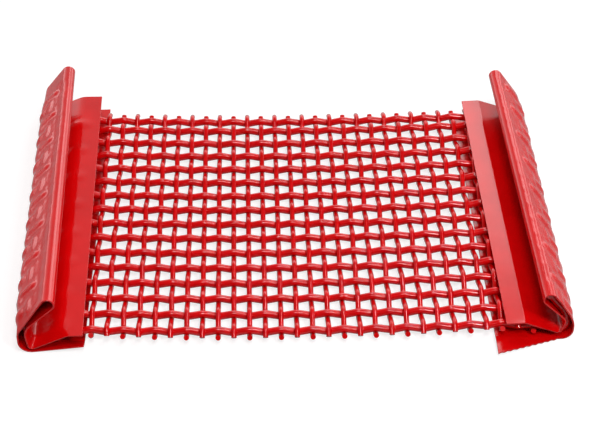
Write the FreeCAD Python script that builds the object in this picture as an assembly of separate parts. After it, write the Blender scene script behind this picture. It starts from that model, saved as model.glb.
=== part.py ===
import FreeCAD
import Part
import math
import os

# Hooked vibrating screen panel: a mesh of crimped steel wires whose two ends run up
# inside folded steel hook strips. Millimetres, +X along the long wires, +Y to the back, +Z up.
# The model is built round the middle of the mesh and moved to the middle of its footprint last.

# Mesh wires
long_wire_diameter = 4.8
cross_wire_diameter = 3.4
long_wire_pitch = 15.0
last_long_wire_pitch = 10.8
long_wire_count = 16
cross_wire_pitch = 10.0
open_cross_wires_per_side = 13
covered_wire_heights = (8.2, 5.93)
long_wire_crimp = 2.0
covered_long_wire_crimp = 3.2
paint_gap = 0.05
cross_wire_overhang = 7.0
front_overhang_middle = 6.0
front_overhang_trim = 1.4
front_overhang_least = 4.5

# Height of the mesh mid-plane over the floor at its middle, and its rise to the leaf edges
mesh_height = 4.9
mesh_bow = 3.3

# Hook strip sheet and the fold that holds the long wires
sheet_thickness = 1.0
fold_clearance = 0.15
channel_corner_radius = 2.6
roll_radius = 4.1
squeezed_end_margin = 0.7

# Left strip: ends, outermost line at both ends, leaf widths and the middle of its roll
left_front = -123.1
left_back = 131.4
left_outer_front = 175.4
left_outer_back = 177.8
left_bulge = 1.2
left_leaf_width = 41.0
left_leaf_height = 13.4
left_lower_leaf_width = 41.2
left_lower_leaf_back_width = 46.5
left_lower_leaf_rise = 1.1
left_leaf_bend_setback = 30.0
left_leaf_bend_height = 13.4
left_leaf_bend_radius = 14.0
left_channel_corner_setback = 11.2
left_neck_height = 16.2
left_neck_radius = 5.5
left_heel_radius = 7.8
left_roll_front = (21.2, 39.5)
left_roll_back = (18.4, 36.6)

# Right strip: the same, with a lower leaf that reaches further in and is cut askew in front
right_front = -119.0
right_back = 119.4
right_outer_front = 175.1
right_outer_back = 171.3
right_bulge = 0.6
right_leaf_width = 43.2
right_leaf_height = 13.7
right_lower_leaf_width = 49.3
right_lower_leaf_back_width = 49.3
right_lower_leaf_rise = 1.5
right_leaf_bend_setback = 31.6
right_leaf_bend_height = 14.2
right_leaf_bend_radius = 4.0
right_channel_corner_setback = 9.2
right_neck_height = 8.0
right_neck_radius = 19.0
right_heel_radius = 7.0
right_roll_front = (17.3, 33.6)
right_roll_back = (20.3, 37.1)
right_skew_length = 15.0

# Front end of each strip, squeezed together where no wire holds the fold open: the leaf's
# bend, the channel's corner, the neck, the shoulder (height, radius) and the lower leaf's rise
left_end_bend = (33.6, 4.9, 8.5)
left_end_corner = (8.9, 5.4)
left_end_neck = (16.2, 14.0, 11.0)
left_end_shoulder = (13.2, 6.4)
left_end_rise = 3.8
right_end_bend = (32.2, 10.3, 4.0)
right_end_corner = (10.4, 8.4)
right_end_neck = (11.7, 14.2, 5.7)
right_end_shoulder = (8.0, 25.1)
right_end_rise = 2.0

# Ridges that the long wires press into the outer wall of each strip, and the place of the
# lowest ones, counted up the wall from the middle of its upright stretch
ridge_length = 13.0
ridge_rise = 1.2
ridge_levels = 3
left_first_ridge = 0.0
right_first_ridge = 4.5

# What follows from the sizes above
crossing_distance = (long_wire_diameter + cross_wire_diameter) / 2 + paint_gap
half_sheet = sheet_thickness / 2
fold_offset = half_sheet + fold_clearance + long_wire_diameter / 2
fold_spacing = 2 * fold_offset
last_column = open_cross_wires_per_side + len(covered_wire_heights)
mesh_depth = (long_wire_count - 1) * long_wire_pitch

parts = {}


# A path in a plane that runs tangent round circles, like a belt: each node is (u, v, r) where
# r is the radius of the bend, plus where the path turns left and minus where it turns right.
def belt_runs(nodes):
    runs = []
    for (au, av, ar), (bu, bv, br) in zip(nodes, nodes[1:]):
        span = math.hypot(bu - au, bv - av)
        length = math.sqrt(span ** 2 - (br - ar) ** 2)
        heading = math.atan2(bv - av, bu - au) - math.atan2(br - ar, length)
        left = (-math.sin(heading), math.cos(heading))
        start = (au - ar * left[0], av - ar * left[1])
        end = (bu - br * left[0], bv - br * left[1])
        runs.append((start, end, heading))
    return runs


def bend_middle(node, heading_in, heading_out, offset):
    u, v, radius = node
    turn = (heading_out - heading_in) % (2 * math.pi)
    if radius < 0:
        turn -= 2 * math.pi
    middle = heading_in + turn / 2
    return (u + (radius - offset) * math.sin(middle), v - (radius - offset) * math.cos(middle))


# Edges of that path, moved sideways by offset to its left; place turns (u, v) into a point.
def belt_edges(nodes, offset, place):
    runs = belt_runs(nodes)
    moved = []
    for start, end, heading in runs:
        left = (-math.sin(heading) * offset, math.cos(heading) * offset)
        moved.append((place(start[0] + left[0], start[1] + left[1]),
                      place(end[0] + left[0], end[1] + left[1])))
    edges = []
    for index, (start, end) in enumerate(moved):
        edges.append(Part.LineSegment(start, end).toShape())
        if index + 1 < len(moved):
            middle = bend_middle(nodes[index + 1], runs[index][2], runs[index + 1][2], offset)
            edges.append(Part.Arc(end, place(*middle), moved[index + 1][0]).toShape())
    return edges


def wire_along(nodes, place, diameter):
    path = Part.Wire(belt_edges(nodes, 0, place))
    first = path.Edges[0]
    start = first.valueAt(first.FirstParameter)
    along = first.tangentAt(first.FirstParameter)
    circle = Part.Wire(Part.Circle(start, along, diameter / 2).toShape())
    return path.makePipeShell([circle], True, False)


# Mesh layout. Rows are long wires counted from the front, columns cross wires from the middle.
def row_y(row):
    y = -mesh_depth / 2 + row * long_wire_pitch
    if row == long_wire_count - 1:
        y += last_long_wire_pitch - long_wire_pitch
    return y


def column_height(column):
    beyond = abs(column) - open_cross_wires_per_side
    if beyond > 0:
        return covered_wire_heights[beyond - 1]
    return mesh_height + mesh_bow * (column / open_cross_wires_per_side) ** 2


def long_wire_is_over(row, column):
    return (row + column) % 2 == 1


# Middles of the two wires where they cross: the long wire first, then the cross wire.
def crossing_heights(row, column):
    side = 1 if long_wire_is_over(row, column) else -1
    covered = abs(column) > open_cross_wires_per_side
    crimp = covered_long_wire_crimp if covered else long_wire_crimp
    long_wire_height = column_height(column) + side * crimp / 2
    return long_wire_height, long_wire_height - side * crossing_distance


class HookStrip:
    def __init__(self, side, front, back, outer_front, outer_back, bulge):
        self.side = side
        self.front = front
        self.back = back
        self.outer_front = outer_front
        self.outer_back = outer_back
        self.full_bulge = bulge

    def leaves(self, leaf, bend, lower_leaf, lower_leaf_back, lower_rise):
        self.leaf = leaf
        self.bend = bend
        self.lower_leaf = lower_leaf
        self.lower_leaf_back = lower_leaf_back
        self.lower_rise = lower_rise

    def hook(self, corner_setback, neck_height, neck_radius, heel_radius, roll_front, roll_back):
        self.corner_setback = corner_setback
        self.neck_height = neck_height
        self.neck_radius = neck_radius
        self.heel_radius = heel_radius
        self.roll_front = roll_front
        self.roll_back = roll_back

    def squeezed(self, bend, corner, neck, shoulder, rise):
        self.end_bend = bend
        self.end_corner = corner
        self.end_neck = neck
        self.end_shoulder = shoulder
        self.end_rise = rise

    def along(self, y):
        return (y - self.front) / (self.back - self.front)

    # Places where the fold's section is given. Between them the sheet runs straight.
    def stations(self):
        first = row_y(0) - long_wire_diameter / 2 - squeezed_end_margin
        return [self.front, first, row_y(1), row_y(long_wire_count - 2), self.back]

    # The mesh pushes the outer wall out, except near the strip's ends.
    def bulge(self, y):
        _, first, full_from, full_to, last = self.stations()
        if y < full_from:
            return self.full_bulge * max(0, (y - first) / (full_from - first))
        return self.full_bulge * min(1, (last - y) / (last - full_to))

    # Distance from the strip's outermost line turned into X, at one place along the strip.
    def place(self, y):
        outer = self.outer_front + self.along(y) * (self.outer_back - self.outer_front)
        return lambda s, z: FreeCAD.Vector(self.side * (outer - s), y, z)

    def roll(self, y):
        share = self.along(y)
        return [a + share * (b - a) for a, b in zip(self.roll_front, self.roll_back)]

    def corner(self):
        return (self.corner_setback, half_sheet + fold_spacing + channel_corner_radius)

    def neck(self):
        return (half_sheet + fold_spacing + self.neck_radius, self.neck_height)

    # The folded sheet from the upper leaf's edge over the roll to the lower leaf's edge.
    def section(self, y):
        setback, bend_height, bend_radius = self.bend
        corner = self.corner()
        neck = self.neck()
        neck_radius = self.neck_radius
        shoulder_height = self.neck_height
        shoulder_radius = self.neck_radius + fold_spacing
        rise = self.lower_rise
        if y == self.front:
            setback, bend_height, bend_radius = self.end_bend
            corner = self.end_corner
            *neck, neck_radius = self.end_neck
            shoulder_height, shoulder_radius = self.end_shoulder
            rise = self.end_rise
        roll = self.roll(y)
        lower_leaf = self.lower_leaf + self.along(y) * (self.lower_leaf_back - self.lower_leaf)
        bulge = self.bulge(y)
        wall = half_sheet - bulge
        return [(*self.leaf, 0),
                (setback, bend_height, bend_radius),
                (corner[0], corner[1], -channel_corner_radius),
                (neck[0], neck[1], -neck_radius),
                (roll[0], roll[1], roll_radius),
                (half_sheet + shoulder_radius, shoulder_height, shoulder_radius + bulge),
                (wall + self.heel_radius, half_sheet + self.heel_radius, self.heel_radius),
                (lower_leaf, half_sheet + rise, 0)]

    def outline(self, y):
        nodes = self.section(y)
        place = self.place(y)
        outer = belt_edges(nodes, half_sheet, place)
        inner = belt_edges(nodes, -half_sheet, place)
        far = Part.LineSegment(outer[-1].Vertexes[-1].Point, inner[-1].Vertexes[-1].Point)
        near = Part.LineSegment(inner[0].Vertexes[0].Point, outer[0].Vertexes[0].Point)
        return Part.Wire(outer + [far.toShape()] + inner[::-1] + [near.toShape()])

    def folded_sheet(self):
        return Part.makeLoft([self.outline(y) for y in self.stations()], True, True)

    # Bends of a long wire inside the fold, from the mesh outwards, and the point where it ends.
    def wire_bends(self, y):
        corner = self.corner()
        neck = self.neck()
        roll = self.roll(y)
        place = self.place(y)
        bends = []
        for (s, z), radius in ((corner, channel_corner_radius), (neck, self.neck_radius)):
            point = place(s, z)
            bends.append((point.x, point.z, radius + fold_offset))
        around = (neck[0], neck[1], -self.neck_radius - fold_offset)
        run = belt_runs([around, (roll[0], roll[1], 0)])[0]
        stop = cross_wire_diameter / 2 + fold_clearance
        end = place(roll[0] - stop * math.cos(run[2]), roll[1] - stop * math.sin(run[2]))
        return bends, (end.x, end.z, 0)


left = HookStrip(-1, left_front, left_back, left_outer_front, left_outer_back, left_bulge)
left.leaves((left_leaf_width, left_leaf_height),
            (left_leaf_bend_setback, left_leaf_bend_height - left_leaf_bend_radius,
             left_leaf_bend_radius),
            left_lower_leaf_width, left_lower_leaf_back_width, left_lower_leaf_rise)
left.hook(left_channel_corner_setback, left_neck_height, left_neck_radius, left_heel_radius,
          left_roll_front, left_roll_back)
left.squeezed(left_end_bend, left_end_corner, left_end_neck, left_end_shoulder, left_end_rise)
right = HookStrip(1, right_front, right_back, right_outer_front, right_outer_back, right_bulge)
right.leaves((right_leaf_width, right_leaf_height),
             (right_leaf_bend_setback, right_leaf_bend_height - right_leaf_bend_radius,
              right_leaf_bend_radius),
             right_lower_leaf_width, right_lower_leaf_back_width, right_lower_leaf_rise)
right.hook(right_channel_corner_setback, right_neck_height, right_neck_radius, right_heel_radius,
           right_roll_front, right_roll_back)
right.squeezed(right_end_bend, right_end_corner, right_end_neck, right_end_shoulder,
               right_end_rise)


# Long wires: crimped over and under the cross wires, both ends turned up inside the folds.
def long_wire(row):
    y = row_y(row)
    left_bends, left_end = left.wire_bends(y)
    right_bends, right_end = right.wire_bends(y)
    nodes = [left_end] + left_bends[::-1]
    for column in range(-last_column, last_column + 1):
        turn = -1 if long_wire_is_over(row, column) else 1
        height = crossing_heights(row, column)[1]
        nodes.append((column * cross_wire_pitch, height, turn * crossing_distance))
    nodes += right_bends + [right_end]
    return wire_along(nodes, lambda u, v: FreeCAD.Vector(u, y, v), long_wire_diameter)


# Cross wires: crimped over and under the long wires, cut off a little beyond the outer ones.
# Their front ends are shorter towards the strips.
def cross_wire(column):
    x = column * cross_wire_pitch
    trim = front_overhang_trim * (column / open_cross_wires_per_side) ** 4
    front_overhang = max(front_overhang_least, front_overhang_middle - trim)
    ends = [(row_y(0) - front_overhang, column_height(column), 0),
            (row_y(long_wire_count - 1) + cross_wire_overhang, column_height(column), 0)]
    crossings = []
    for row in range(long_wire_count):
        turn = 1 if long_wire_is_over(row, column) else -1
        crossings.append((row_y(row), crossing_heights(row, column)[0], turn * crossing_distance))
    nodes = [ends[0]] + crossings + [ends[1]]
    return wire_along(nodes, lambda u, v: FreeCAD.Vector(x, u, v), cross_wire_diameter)


# The last cross wire lies straight in each roll.
def roll_wire(strip):
    ends = []
    for y in (row_y(0) - cross_wire_overhang / 2, row_y(long_wire_count - 1) + cross_wire_overhang):
        ends.append(strip.place(y)(*strip.roll(y)))
    span = ends[1] - ends[0]
    return Part.makeCylinder(cross_wire_diameter / 2, span.Length, ends[0], span)


# A point on the outer face of a strip, at a distance up from the middle of its upright stretch.
def wall_point(strip, y, distance):
    edges = belt_edges(strip.section(y)[4:], -half_sheet, strip.place(y))
    face, bend, upright = edges[:3]
    reach = max(0, face.Length + bend.Length + upright.Length / 2 - distance)
    for edge in edges:
        if reach <= edge.Length:
            return edge.valueAt(edge.getParameterByLength(reach))
        reach -= edge.Length


# One ridge follows a long wire: an arc over the wall through three points, round in section,
# of which only the part from inside the sheet outwards is kept.
def ridge(strip, y, distance):
    low, middle, high = [wall_point(strip, y, distance + step)
                         for step in (-ridge_length / 2, 0, ridge_length / 2)]
    outward = (high - low).cross(FreeCAD.Vector(0, -strip.side, 0)).normalize()
    crest = Part.Arc(low, middle + outward * ridge_rise, high).toShape().Curve
    tube_radius = ((long_wire_diameter / 2) ** 2 + ridge_rise ** 2) / (2 * ridge_rise)
    across = FreeCAD.Vector(0, 2 * tube_radius, 0)
    torus = Part.makeTorus(crest.Radius - tube_radius, tube_radius, crest.Center, across)
    nodes = strip.section(y)[4:]
    place = strip.place(y - tube_radius)
    inner = belt_edges(nodes, half_sheet / 2, place)
    outer = belt_edges(nodes, -half_sheet - 2 * ridge_rise, place)
    top = Part.LineSegment(outer[0].Vertexes[0].Point, inner[0].Vertexes[0].Point)
    foot = Part.LineSegment(inner[-1].Vertexes[-1].Point, outer[-1].Vertexes[-1].Point)
    skin = Part.Face(Part.Wire(inner + [foot.toShape()] + outer[::-1] + [top.toShape()]))
    around = Part.makeCylinder(ridge_length / 2 + sheet_thickness, across.Length,
                               middle - across / 2, across)
    return torus.common(skin.extrude(across)).common(around)


# The crests of one long wire are two cross wires apart, and its neighbour's lie between them.
def ridges(strip, first):
    found = []
    for row in range(long_wire_count):
        for level in range(1 - row % 2, ridge_levels, 2):
            found.append(ridge(strip, row_y(row), first + level * cross_wire_pitch))
    return found


# The lower leaf's front corner reaches further to the front and is cut askew.
def askew_corner(strip, length):
    start, end, heading = belt_runs(strip.section(strip.front))[-1]
    place = strip.place(strip.front)
    up = (-math.sin(heading) * half_sheet, math.cos(heading) * half_sheet)
    corners = [place(start[0] + up[0], start[1] + up[1]), place(end[0] + up[0], end[1] + up[1]),
               place(end[0] - up[0], end[1] - up[1]), place(start[0] - up[0], start[1] - up[1])]
    plate = Part.Face(Part.makePolygon(corners + corners[:1]))
    plate = plate.extrude(FreeCAD.Vector(0, -length, 0))
    below = -strip.lower_leaf
    near = FreeCAD.Vector(corners[0].x, strip.front, below)
    far = FreeCAD.Vector(corners[1].x, strip.front - length, below)
    outside = FreeCAD.Vector(near.x, far.y, below)
    wedge = Part.Face(Part.makePolygon([near, far, outside, near]))
    return plate.cut(wedge.extrude(FreeCAD.Vector(0, 0, -2 * below)))


parts["left_hook_strip"] = left.folded_sheet().fuse(ridges(left, left_first_ridge))
parts["right_hook_strip"] = right.folded_sheet().fuse(
    ridges(right, right_first_ridge) + [askew_corner(right, right_skew_length)])
for row in range(long_wire_count):
    parts["long_wire_%02d" % (row + 1)] = long_wire(row)
for column in range(-last_column, last_column + 1):
    parts["cross_wire_%02d" % (column + last_column + 1)] = cross_wire(column)
parts["left_roll_wire"] = roll_wire(left)
parts["right_roll_wire"] = roll_wire(right)

# Move everything so that the origin is the middle of the footprint, on the floor.
box = Part.makeCompound(list(parts.values())).optimalBoundingBox(False, False)
shift = FreeCAD.Vector(-box.Center.x, -box.Center.y, -box.ZMin)
os.makedirs("parts", exist_ok=True)
for name, shape in parts.items():
    shape.translate(shift)
    shape.exportStep("parts/%s.step" % name)
print("moved by", [round(value, 3) for value in shift])
print("size", round(box.XLength, 2), round(box.YLength, 2), round(box.ZLength, 2))
for name, shape in parts.items():
    if not shape.isValid() or len(shape.Solids) != 1:
        print("check", name, shape.isValid(), len(shape.Solids))
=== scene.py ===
import bpy
import bmesh
import math
from mathutils import Matrix, Vector


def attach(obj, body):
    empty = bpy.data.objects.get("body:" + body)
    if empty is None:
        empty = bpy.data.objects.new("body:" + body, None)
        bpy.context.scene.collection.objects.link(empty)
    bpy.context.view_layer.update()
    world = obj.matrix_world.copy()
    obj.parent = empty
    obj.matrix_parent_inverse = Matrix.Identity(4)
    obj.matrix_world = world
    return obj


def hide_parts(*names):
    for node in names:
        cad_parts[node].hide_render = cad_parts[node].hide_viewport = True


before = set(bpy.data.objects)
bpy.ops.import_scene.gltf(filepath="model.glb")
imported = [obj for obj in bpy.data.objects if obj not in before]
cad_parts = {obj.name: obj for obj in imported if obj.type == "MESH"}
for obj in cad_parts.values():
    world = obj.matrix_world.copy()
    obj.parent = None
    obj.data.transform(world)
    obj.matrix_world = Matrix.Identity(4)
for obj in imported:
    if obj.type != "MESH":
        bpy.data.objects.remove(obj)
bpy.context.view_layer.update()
mm = 0.001
# The mesh was laid out round its own middle, and stands this far from the frame's origin.
mesh_middle = Vector((1.705, 1.3, 0)) * mm


# Mesh wires.
# Sixteen long and thirty-one cross wires, and one in each roll: hard drawn steel wire, crimped
# between toothed rollers and woven. The woven panel was sprayed all over, so the wires carry a
# thick, wet-looking coat of red alkyd gloss that has sagged a little towards their undersides.
def linear(colour):
    parts = [int(colour[i:i + 2], 16) / 255 for i in (1, 3, 5)]
    return [p / 12.92 if p <= 0.04045 else ((p + 0.055) / 1.055) ** 2.4 for p in parts] + [1.0]


def add_node(tree, kind, inputs=None, **settings):
    made = tree.nodes.new(kind)
    for name, value in settings.items():
        setattr(made, name, value)
    for socket, value in (inputs or {}).items():
        if isinstance(value, bpy.types.NodeSocket):
            tree.links.new(value, made.inputs[socket])
        else:
            made.inputs[socket].default_value = value
    return made


# Alkyd gloss enamel, sprayed on wire: a deep, saturated red under a hard, sharp shine.
wire_paint = bpy.data.materials.new("red_alkyd_gloss_on_drawn_wire")
wire_paint.use_nodes = True
tree = wire_paint.node_tree
tree.nodes.clear()
place = add_node(tree, "ShaderNodeTexCoord").outputs["Object"]
# Paint runs together in drops and thin places about 7 mm long
sags = add_node(tree, "ShaderNodeTexNoise", {"Vector": place, "Scale": 140.0, "Detail": 3.0})
shade = add_node(tree, "ShaderNodeValToRGB", {"Fac": sags.outputs["Fac"]})
shade.color_ramp.elements[0].position = 0.32
shade.color_ramp.elements[0].color = linear("#C80002")
shade.color_ramp.elements[1].position = 0.68
shade.color_ramp.elements[1].color = linear("#DE0308")
# Orange peel of the sprayed film, drawn at 1.5 mm, coarser than it is, so that it shows
peel = add_node(tree, "ShaderNodeTexNoise", {"Vector": place, "Scale": 650.0, "Detail": 2.0})
relief = add_node(tree, "ShaderNodeBump", {"Height": peel.outputs["Fac"], "Strength": 0.06,
                                           "Distance": 0.0004})
paint = add_node(tree, "ShaderNodeBsdfPrincipled", {
    "Base Color": shade.outputs["Color"], "Normal": relief.outputs["Normal"],
    "Roughness": 0.14, "IOR": 1.52})
add_node(tree, "ShaderNodeOutputMaterial", {"Surface": paint.outputs["BSDF"]})

wire_names = ["long_wire_%02d" % (i + 1) for i in range(16)]
wire_names += ["cross_wire_%02d" % (i + 1) for i in range(31)]
wire_names += ["left_roll_wire", "right_roll_wire"]
for name in wire_names:
    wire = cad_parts[name]
    for slot in wire.material_slots:
        slot.material = wire_paint
    wire.data.polygons.foreach_set("use_smooth", [True] * len(wire.data.polygons))


# Left hook strip.
# One strip of 1 mm sheet steel, folded on a press brake round the ends of the long wires: an
# upper leaf, a channel, a rolled nose, an outer wall and a lower leaf. The wires were pressed
# in so hard that their crests stand out of the wall and the leaf.
sheet = 1.0 * mm
# Points of the sheet that lie closer together than this count as one place
nearly = 0.01 * mm
# In millimetres: half the sheet, and its middle line's radius in the channel and in the roll
half_sheet, corner_radius, roll_radius = 0.5, 2.6, 4.1
# Number of short straight pieces that each flat and each bend of the fold is drawn with
flat_steps = (5, 9, 2, 10, 20, 6, 8)
bend_steps = (8, 6, 6, 16, 12, 10)


def deselect():
    bpy.ops.object.select_all(action="DESELECT")


# Bends of the sheet's middle line from the upper leaf's edge to the lower leaf's, each with its
# distance inwards from the outermost line, its height and its radius, in millimetres.
def hook_bends(leaf, leaf_bend, corner, neck, roll, shoulder, heel, lower_leaf, bulge=0.0):
    return [(*leaf, 0.0), leaf_bend, (*corner, -corner_radius), neck, (*roll, roll_radius),
            (half_sheet + shoulder[1], shoulder[0], shoulder[1] + bulge),
            (half_sheet - bulge + heel, half_sheet + heel, heel), (*lower_leaf, 0.0)]


# Straight flats of that line between its bends: start, end and heading of each.
def hook_flats(bends):
    flats = []
    for (au, av, ar), (bu, bv, br) in zip(bends, bends[1:]):
        length = math.sqrt((bu - au) ** 2 + (bv - av) ** 2 - (br - ar) ** 2)
        heading = math.atan2(bv - av, bu - au) - math.atan2(br - ar, length)
        left = Vector((-math.sin(heading), math.cos(heading)))
        flats.append((Vector((au, av)) - ar * left, Vector((bu, bv)) - br * left, heading))
    return flats


# One section of the fold at y: a vertex is pulled along each flat and spun round each bend.
def draw_section(side, outer, y, bends):
    def spot(point):
        return Vector((side * (outer - point[0]), y, point[1])) * mm + mesh_middle

    flats = hook_flats(bends)
    bpy.ops.mesh.select_all(action="DESELECT")
    bpy.ops.mesh.primitive_plane_add(size=2 * mm, location=spot(flats[0][0]))
    bpy.ops.mesh.merge(type="CENTER")
    for index, (start, end, heading) in enumerate(flats):
        step = (spot(end) - spot(start)) / flat_steps[index]
        for _ in range(flat_steps[index]):
            bpy.ops.mesh.extrude_region_move(TRANSFORM_OT_translate={"value": step})
        if index < len(bend_steps):
            turn = (flats[index + 1][2] - heading) % (2 * math.pi)
            if bends[index + 1][2] < 0:
                turn -= 2 * math.pi
            bpy.ops.mesh.spin(steps=bend_steps[index], angle=-turn, axis=(0, side, 0),
                              center=spot(bends[index + 1][:2]))


def select_points(sheet_object, wanted):
    mesh = bmesh.from_edit_mesh(sheet_object.data)
    for vertex in mesh.verts:
        vertex.select = wanted(vertex.co)
    mesh.select_flush_mode()
    bmesh.update_edit_mesh(sheet_object.data)


# The fold is drawn at each of its stations, and each pair of sections is bridged.
def fold_strip(name, side, outer, bends, stations):
    deselect()
    bpy.ops.mesh.primitive_plane_add(size=2 * mm)
    strip = bpy.context.object
    strip.name = name
    bpy.ops.object.mode_set(mode="EDIT")
    bpy.ops.mesh.select_all(action="SELECT")
    bpy.ops.mesh.delete(type="VERT")
    before = None
    for y, rows in stations:
        draw_section(side, outer(y), y, bends(y))
        if before is not None:
            ends = (before * mm + mesh_middle.y, y * mm + mesh_middle.y)
            select_points(strip, lambda p: min(abs(p.y - e) for e in ends) < nearly)
            bpy.ops.mesh.bridge_edge_loops(number_cuts=rows - 1, interpolation="LINEAR")
        before = y
    return strip


left_front, left_back = -123.1, 131.4
# The front end is squeezed together up to the first of these places along the strip, and the
# wires bulge the wall out, fully from the second one to the third
squeeze_end, bulge_start, bulge_end = -115.6, -97.5, 97.5


def left_share(y):
    return (y - left_front) / (left_back - left_front)


def left_outer(y):
    return 175.4 + 2.4 * left_share(y)


def bulge_share(y, back):
    rising = (y - squeeze_end) / (bulge_start - squeeze_end)
    return max(0.0, min(1.0, rising, (back - y) / (back - bulge_end)))


def left_bends(y):
    share = left_share(y)
    roll = (21.2 - 2.8 * share, 39.5 - 2.9 * share)
    lower_leaf_width = 41.2 + 5.3 * share
    if y == left_front:
        return hook_bends((41.0, 13.4), (33.6, 4.9, 8.5), (8.9, 5.4), (16.2, 14.0, -11.0), roll,
                          (13.2, 6.4), 7.8, (lower_leaf_width, 4.3))
    return hook_bends((41.0, 13.4), (30.0, -0.6, 14.0), (11.2, 9.2), (12.1, 16.2, -5.5), roll,
                      (16.2, 11.6), 7.8, (lower_leaf_width, 1.6),
                      1.2 * bulge_share(y, left_back))


left_strip = fold_strip("left_folded_strip", -1, left_outer, left_bends, [
    (left_front, 0), (squeeze_end, 6), (bulge_start, 14), (bulge_end, 156), (left_back, 26)])


# A spot on the outer wall, and the way that the wall faces there. The distance goes up the wall
# from the middle of its upright flat, round the bend above it and on over the flat below the roll.
def wall_spot(side, outer, y, bends, distance):
    flats = hook_flats(bends(y))
    face, upright = flats[4], flats[5]
    u, v, radius = bends(y)[5]
    turn = (upright[2] - face[2]) % (2 * math.pi)
    half_upright = (upright[1] - upright[0]).length / 2
    if distance < half_upright:
        heading, start, back = upright[2], upright[0], half_upright - distance
    elif distance < half_upright + turn * radius:
        heading = upright[2] - (distance - half_upright) / radius
        start = Vector((u, v)) + radius * Vector((math.sin(heading), -math.cos(heading)))
        back = 0.0
    else:
        heading, start = face[2], face[1]
        back = half_upright + turn * radius - distance
    point = start + back * Vector((math.cos(heading), math.sin(heading)))
    centre = Vector((side * (outer(y) - point.x), y, point.y)) * mm + mesh_middle
    return centre, Vector((-side * math.sin(heading), 0, -math.cos(heading)))


# Pushes the sheet out round a spot by its rise. The points within the two lengths along and
# across the strip rise fully, and those within the spread follow; all are in millimetres.
def press_out(strip, centre, outward, rise, along, across, spread):
    select_points(strip, lambda p: abs(p.y - centre.y) < along * mm
                  and math.hypot(p.x - centre.x, p.z - centre.z) < across * mm)
    bpy.ops.transform.translate(value=outward * rise * mm, use_proportional_edit=True,
                                proportional_edit_falloff="SMOOTH", proportional_size=spread * mm,
                                use_proportional_connected=True)


# Crests on the wall, one row at each long wire. A long wire's crest is high and narrow, with a
# gentler slope behind it, and a cross wire's is low and runs along the strip. The two kinds take
# turns up the wall. The bottom ones are flatter, where the wall stands out furthest, and above
# the top ones the wall is drawn in a little.
row_places = [-112.5 + 15.0 * row for row in range(15)] + [108.3]
cross_wire_pitch = 10.0
crest_shares = (0.55, 0.8, 1.0)
drawn_in_distance = 31.0
gentle_slope = Vector((0, 1.2, 0)) * mm


def press_crests(strip, side, outer, bends, lowest):
    for row, y in enumerate(row_places):
        centre, outward = wall_spot(side, outer, y, bends, lowest + drawn_in_distance)
        press_out(strip, centre, outward, rise=-0.6, along=4.0, across=1.0, spread=6.5)
        for level, share in enumerate(crest_shares):
            centre, outward = wall_spot(side, outer, y, bends, lowest + cross_wire_pitch * level)
            if (row + level) % 2:
                press_out(strip, centre + gentle_slope, outward, rise=0.3 * share,
                          along=1.0, across=4.0, spread=5.5)
                press_out(strip, centre, outward, rise=1.15 * share,
                          along=0.8, across=5.4, spread=4.0)
            else:
                press_out(strip, centre, outward, rise=0.75 * share,
                          along=4.6, across=1.0, spread=4.2)


press_crests(left_strip, -1, left_outer, left_bends, 0.0)
# Every second long wire also lifts the slope of the upper leaf
leaf_outward = Vector((-0.35, 0, 0.94))
for row_y in row_places[::2]:
    lift = Vector((-151.0, row_y, 12.6)) * mm + mesh_middle
    press_out(left_strip, lift, leaf_outward, rise=0.5, along=0.8, across=3.0, spread=8.0)


# The bare sheet gets its thickness, and the sheared edges the small round that paint gives them.
def finish_sheet(strip, material):
    bpy.ops.mesh.select_all(action="SELECT")
    bpy.ops.mesh.remove_doubles(threshold=nearly)
    bpy.ops.mesh.normals_make_consistent(inside=False)
    bpy.ops.object.mode_set(mode="OBJECT")
    deselect()
    strip.select_set(True)
    bpy.context.view_layer.objects.active = strip
    wall = strip.modifiers.new("thickness", "SOLIDIFY")
    wall.thickness = sheet
    wall.offset = 0.0
    bpy.ops.object.modifier_apply(modifier=wall.name)
    bpy.ops.object.shade_smooth_by_angle(angle=math.radians(35))
    edge = strip.modifiers.new("sheared edges", "BEVEL")
    edge.width = 0.2 * mm
    edge.segments = 2
    edge.limit_method = "ANGLE"
    edge.angle_limit = math.radians(60)
    edge.harden_normals = True
    bpy.ops.object.modifier_apply(modifier=edge.name)
    bpy.ops.object.transform_apply(location=True, rotation=True, scale=True)
    strip.data.materials.clear()
    strip.data.materials.append(material)
    deselect()


# The same enamel on sheet: it lies smoother there, and flows away from the sheared edges.
sheet_paint = bpy.data.materials.new("red_alkyd_gloss_on_folded_sheet")
sheet_paint.use_nodes = True
tree = sheet_paint.node_tree
tree.nodes.clear()
place = add_node(tree, "ShaderNodeTexCoord").outputs["Object"]
clouds = add_node(tree, "ShaderNodeTexNoise", {"Vector": place, "Scale": 45.0, "Detail": 4.0})
shade = add_node(tree, "ShaderNodeValToRGB", {"Fac": clouds.outputs["Fac"]})
shade.color_ramp.elements[0].position = 0.3
shade.color_ramp.elements[0].color = linear("#CA0204")
shade.color_ramp.elements[1].position = 0.7
shade.color_ramp.elements[1].color = linear("#D80408")
# Slow waves of the folded sheet, 30 mm long, and the orange peel of the sprayed film over them
waves = add_node(tree, "ShaderNodeTexNoise", {"Vector": place, "Scale": 30.0, "Detail": 1.0})
wavy = add_node(tree, "ShaderNodeBump", {"Height": waves.outputs["Fac"], "Strength": 0.2,
                                         "Distance": 0.001})
peel = add_node(tree, "ShaderNodeTexNoise", {"Vector": place, "Scale": 520.0, "Detail": 2.0})
relief = add_node(tree, "ShaderNodeBump", {"Height": peel.outputs["Fac"], "Strength": 0.08,
                                           "Distance": 0.0004, "Normal": wavy.outputs["Normal"]})
paint = add_node(tree, "ShaderNodeBsdfPrincipled", {
    "Base Color": shade.outputs["Color"], "Normal": relief.outputs["Normal"],
    "Roughness": 0.17, "IOR": 1.5})
add_node(tree, "ShaderNodeOutputMaterial", {"Surface": paint.outputs["BSDF"]})

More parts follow.
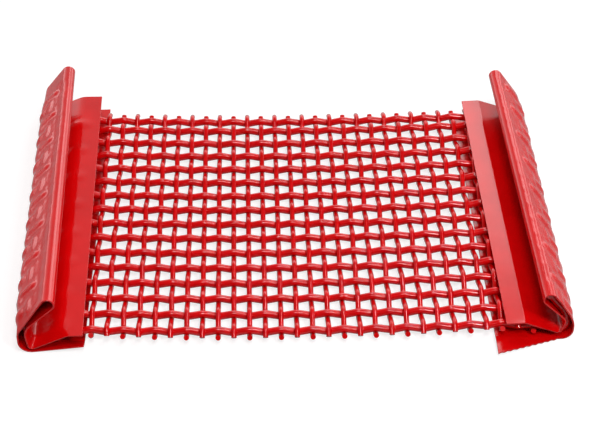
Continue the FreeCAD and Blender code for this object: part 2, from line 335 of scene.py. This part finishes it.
finish_sheet(left_strip, sheet_paint)
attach(left_strip, "root")
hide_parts("left_hook_strip")


# Right hook strip.
# The same fold on the other side, with a roll that is lowest in front and a wider lower leaf.
# That leaf was cut askew from a longer sheet with hand shears, which left teeth on its front
# edge.
right_front, right_back = -119.0, 119.4
right_lower_leaf_width = 49.3


def right_share(y):
    return (y - right_front) / (right_back - right_front)


def right_outer(y):
    return 175.1 - 3.8 * right_share(y)


def right_bends(y):
    share = right_share(y)
    roll = (17.3 + 3.0 * share, 33.6 + 3.5 * share)
    if y == right_front:
        return hook_bends((43.2, 13.7), (32.2, 10.3, 4.0), (10.4, 8.4), (11.7, 14.2, -5.7), roll,
                          (8.0, 25.1), 7.0, (right_lower_leaf_width, 2.5))
    return hook_bends((43.2, 13.7), (31.6, 10.2, 4.0), (9.2, 9.2), (25.6, 8.0, -19.0), roll,
                      (8.0, 25.1), 7.0, (right_lower_leaf_width, 2.0),
                      0.6 * bulge_share(y, right_back))


# Its lower leaf is drawn in 20 pieces, two for each tooth
tooth_count = 10
flat_steps = (*flat_steps[:-1], 2 * tooth_count)
right_strip = fold_strip("right_folded_strip", 1, right_outer, right_bends, [
    (right_front, 0), (squeeze_end, 3), (bulge_start, 14), (bulge_end, 156), (right_back, 17)])
press_crests(right_strip, 1, right_outer, right_bends, 4.5)

# The lower leaf is pulled to the front, and cut off from its heel to its far corner
askew_length = 15.0 * mm
lower_leaf_top = 3.2 * mm
front_y = right_front * mm + mesh_middle.y
heel_x = (right_outer(right_front) - 7.5) * mm + mesh_middle.x
tip_x = (right_outer(right_front) - right_lower_leaf_width) * mm + mesh_middle.x
select_points(right_strip, lambda p: abs(p.y - front_y) < nearly and p.z < lower_leaf_top
              and p.x < heel_x + nearly)
bpy.ops.mesh.extrude_region_move(TRANSFORM_OT_translate={"value": (0, -askew_length, 0)})
select_points(right_strip, lambda p: p.y < front_y + nearly and p.z < lower_leaf_top
              and p.x < heel_x + nearly)
cut = Vector((tip_x - heel_x, -askew_length, 0)).normalized()
bpy.ops.mesh.bisect(plane_co=(heel_x, front_y, 0), plane_no=(-cut.y, cut.x, 0),
                    clear_inner=False, clear_outer=True)
# Teeth of the shears: every second point of that cut is pushed back
tooth_depth = 0.7 * mm
for tooth in range(tooth_count):
    x = heel_x - (heel_x - tip_x) * (2 * tooth + 1) / (2 * tooth_count)
    y = front_y + (x - heel_x) * cut.y / cut.x
    select_points(right_strip, lambda p: abs(p.y - y) < 0.6 * mm and abs(p.x - x) < 0.8 * mm
                  and p.z < lower_leaf_top)
    bpy.ops.transform.translate(value=(0, tooth_depth, 0))
finish_sheet(right_strip, sheet_paint)
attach(right_strip, "root")
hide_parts("right_hook_strip")


# Studio.
# A white paper floor and white surroundings. The paper is drawn in grey, so that it throws less
# light back up at the panel. It adds just enough of its own white for the camera to lose that
# grey, and a little of it in reflections, and keeps the shadow.
paper_grey = 0.36
camera_lift = 0.73
mirrored_lift = 0.16
deselect()
bpy.ops.mesh.primitive_plane_add(size=8.0, location=(0, 0, -0.2 * mm))
floor = bpy.context.object
floor.name = "paper_floor"
paper = bpy.data.materials.new("white_paper")
paper.use_nodes = True
tree = paper.node_tree
tree.nodes.clear()
ray = add_node(tree, "ShaderNodeLightPath")
matt = add_node(tree, "ShaderNodeBsdfDiffuse", {"Color": (paper_grey, paper_grey, paper_grey, 1)})
mirrored = add_node(tree, "ShaderNodeMath", {0: ray.outputs["Is Glossy Ray"],
                                             1: ray.outputs["Is Transmission Ray"]},
                    operation="MAXIMUM")
dimmed = add_node(tree, "ShaderNodeMath", {0: mirrored.outputs[0], 1: mirrored_lift},
                  operation="MULTIPLY")
lift = add_node(tree, "ShaderNodeMath", {0: ray.outputs["Is Camera Ray"], 1: camera_lift,
                                         2: dimmed.outputs[0]}, operation="MULTIPLY_ADD")
glow = add_node(tree, "ShaderNodeEmission", {"Color": (1, 1, 1, 1), "Strength": lift.outputs[0]})
both = add_node(tree, "ShaderNodeAddShader", {0: matt.outputs[0], 1: glow.outputs[0]})
add_node(tree, "ShaderNodeOutputMaterial", {"Surface": both.outputs[0]})
floor.data.materials.append(paper)

# White walls stand low round the back, and the rest of the room is dark. They light matt
# surfaces with half of what they show in a shine, and the camera sees plain white.
dark_room = 0.08
matt_loss = 0.5
world = bpy.data.worlds.new("white_studio")
bpy.context.scene.world = world
world.use_nodes = True
tree = world.node_tree
tree.nodes.clear()
ray = add_node(tree, "ShaderNodeLightPath")
way = add_node(tree, "ShaderNodeSeparateXYZ", {
    "Vector": add_node(tree, "ShaderNodeTexCoord").outputs["Generated"]})
walls = add_node(tree, "ShaderNodeValToRGB", {"Fac": way.outputs["Z"]})
steps = walls.color_ramp
steps.elements[0].position, steps.elements[1].position = 0.0, 0.85
steps.elements[0].color = (2.7, 2.7, 2.7, 1)
steps.elements[1].color = (dark_room, dark_room, dark_room, 1)
for position, level in ((0.17, 1.9), (0.44, 0.9), (0.64, 0.6)):
    steps.elements.new(position).color = (level, level, level, 1)
behind = add_node(tree, "ShaderNodeMapRange", {"Value": way.outputs["Y"], "From Min": 0.2,
                                               "From Max": 0.6, "To Min": 0.0, "To Max": 1.0})
strength = add_node(tree, "ShaderNodeMix", {"Factor": behind.outputs["Result"], "A": dark_room,
                                            "B": walls.outputs["Color"]})
kept = add_node(tree, "ShaderNodeMath", {0: ray.outputs["Is Diffuse Ray"], 1: -matt_loss, 2: 1.0},
                operation="MULTIPLY_ADD")
fill = add_node(tree, "ShaderNodeMath", {0: kept.outputs[0], 1: strength.outputs["Result"]},
                operation="MULTIPLY")
seen = add_node(tree, "ShaderNodeMix", {"Factor": ray.outputs["Is Camera Ray"],
                                        "A": fill.outputs[0], "B": 1.0})
sky = add_node(tree, "ShaderNodeBackground", {"Color": (1, 1, 1, 1),
                                              "Strength": seen.outputs["Result"]})
add_node(tree, "ShaderNodeOutputWorld", {"Surface": sky.outputs[0]})


# Softboxes stand round the panel at one distance. Azimuth is counted from the back of the panel
# towards its right, and radiance is in W/m2/sr.
light_distance = 1.6


def softbox(name, azimuth, elevation, width, height, radiance):
    light = bpy.data.lights.new(name, "AREA")
    light.shape = "RECTANGLE"
    light.size = width
    light.size_y = height
    light.energy = radiance * math.pi * width * height
    lamp = bpy.data.objects.new(name, light)
    bpy.context.scene.collection.objects.link(lamp)
    a, e = math.radians(azimuth), math.radians(elevation)
    way_out = Vector((math.sin(a) * math.cos(e), math.cos(a) * math.cos(e), math.sin(e)))
    lamp.location = light_distance * way_out
    lamp.rotation_euler = lamp.location.to_track_quat("Z", "Y").to_euler()
    return lamp


# Two small, strong ones light the mesh, and draw the long streaks of shine along its wires
softbox("key_softbox", 142, 44, 0.26, 0.16, 60.0)
softbox("right_high_softbox", 108, 68, 0.2, 0.14, 30.0)
softbox("front_softbox", 177, 63, 0.55, 0.4, 15.0)
softbox("back_softbox", 22, 35, 0.8, 0.5, 3.0)
softbox("back_high_softbox", 0, 64, 0.24, 0.6, 9.0)
# Two long, low ones brighten the outer walls, and are left out of reflections
for side_box in (softbox("left_softbox", -84, 3.5, 1.4, 0.18, 10.0),
                 softbox("right_softbox", 84, 3.5, 1.4, 0.18, 6.6)):
    side_box.visible_glossy = False

# Camera where the photographer stood, found from the corners of the mesh openings
camera_data = bpy.data.cameras.new("camera")
camera = bpy.data.objects.new("camera", camera_data)
bpy.context.scene.collection.objects.link(camera)
bpy.context.scene.camera = camera
camera_data.sensor_width = 36.0
camera_data.lens = 102.515
camera_data.clip_start = 0.05
camera_distance = 1.172609
azimuth, elevation, roll = math.radians(-2.1022), math.radians(39.7446), math.radians(0.51)
aim = Vector((5.434, 3.253, 4.8)) * mm + mesh_middle
back = Vector((math.sin(azimuth) * math.cos(elevation),
               -math.cos(azimuth) * math.cos(elevation), math.sin(elevation)))
right = Vector((math.cos(azimuth), math.sin(azimuth), 0))
up = back.cross(right)
tilted_right = math.cos(roll) * right + math.sin(roll) * up
tilted_up = back.cross(tilted_right)
camera.location = aim + camera_distance * back
camera.rotation_euler = Matrix((tilted_right, tilted_up, back)).transposed().to_euler()

bpy.context.scene.view_settings.view_transform = "Standard"
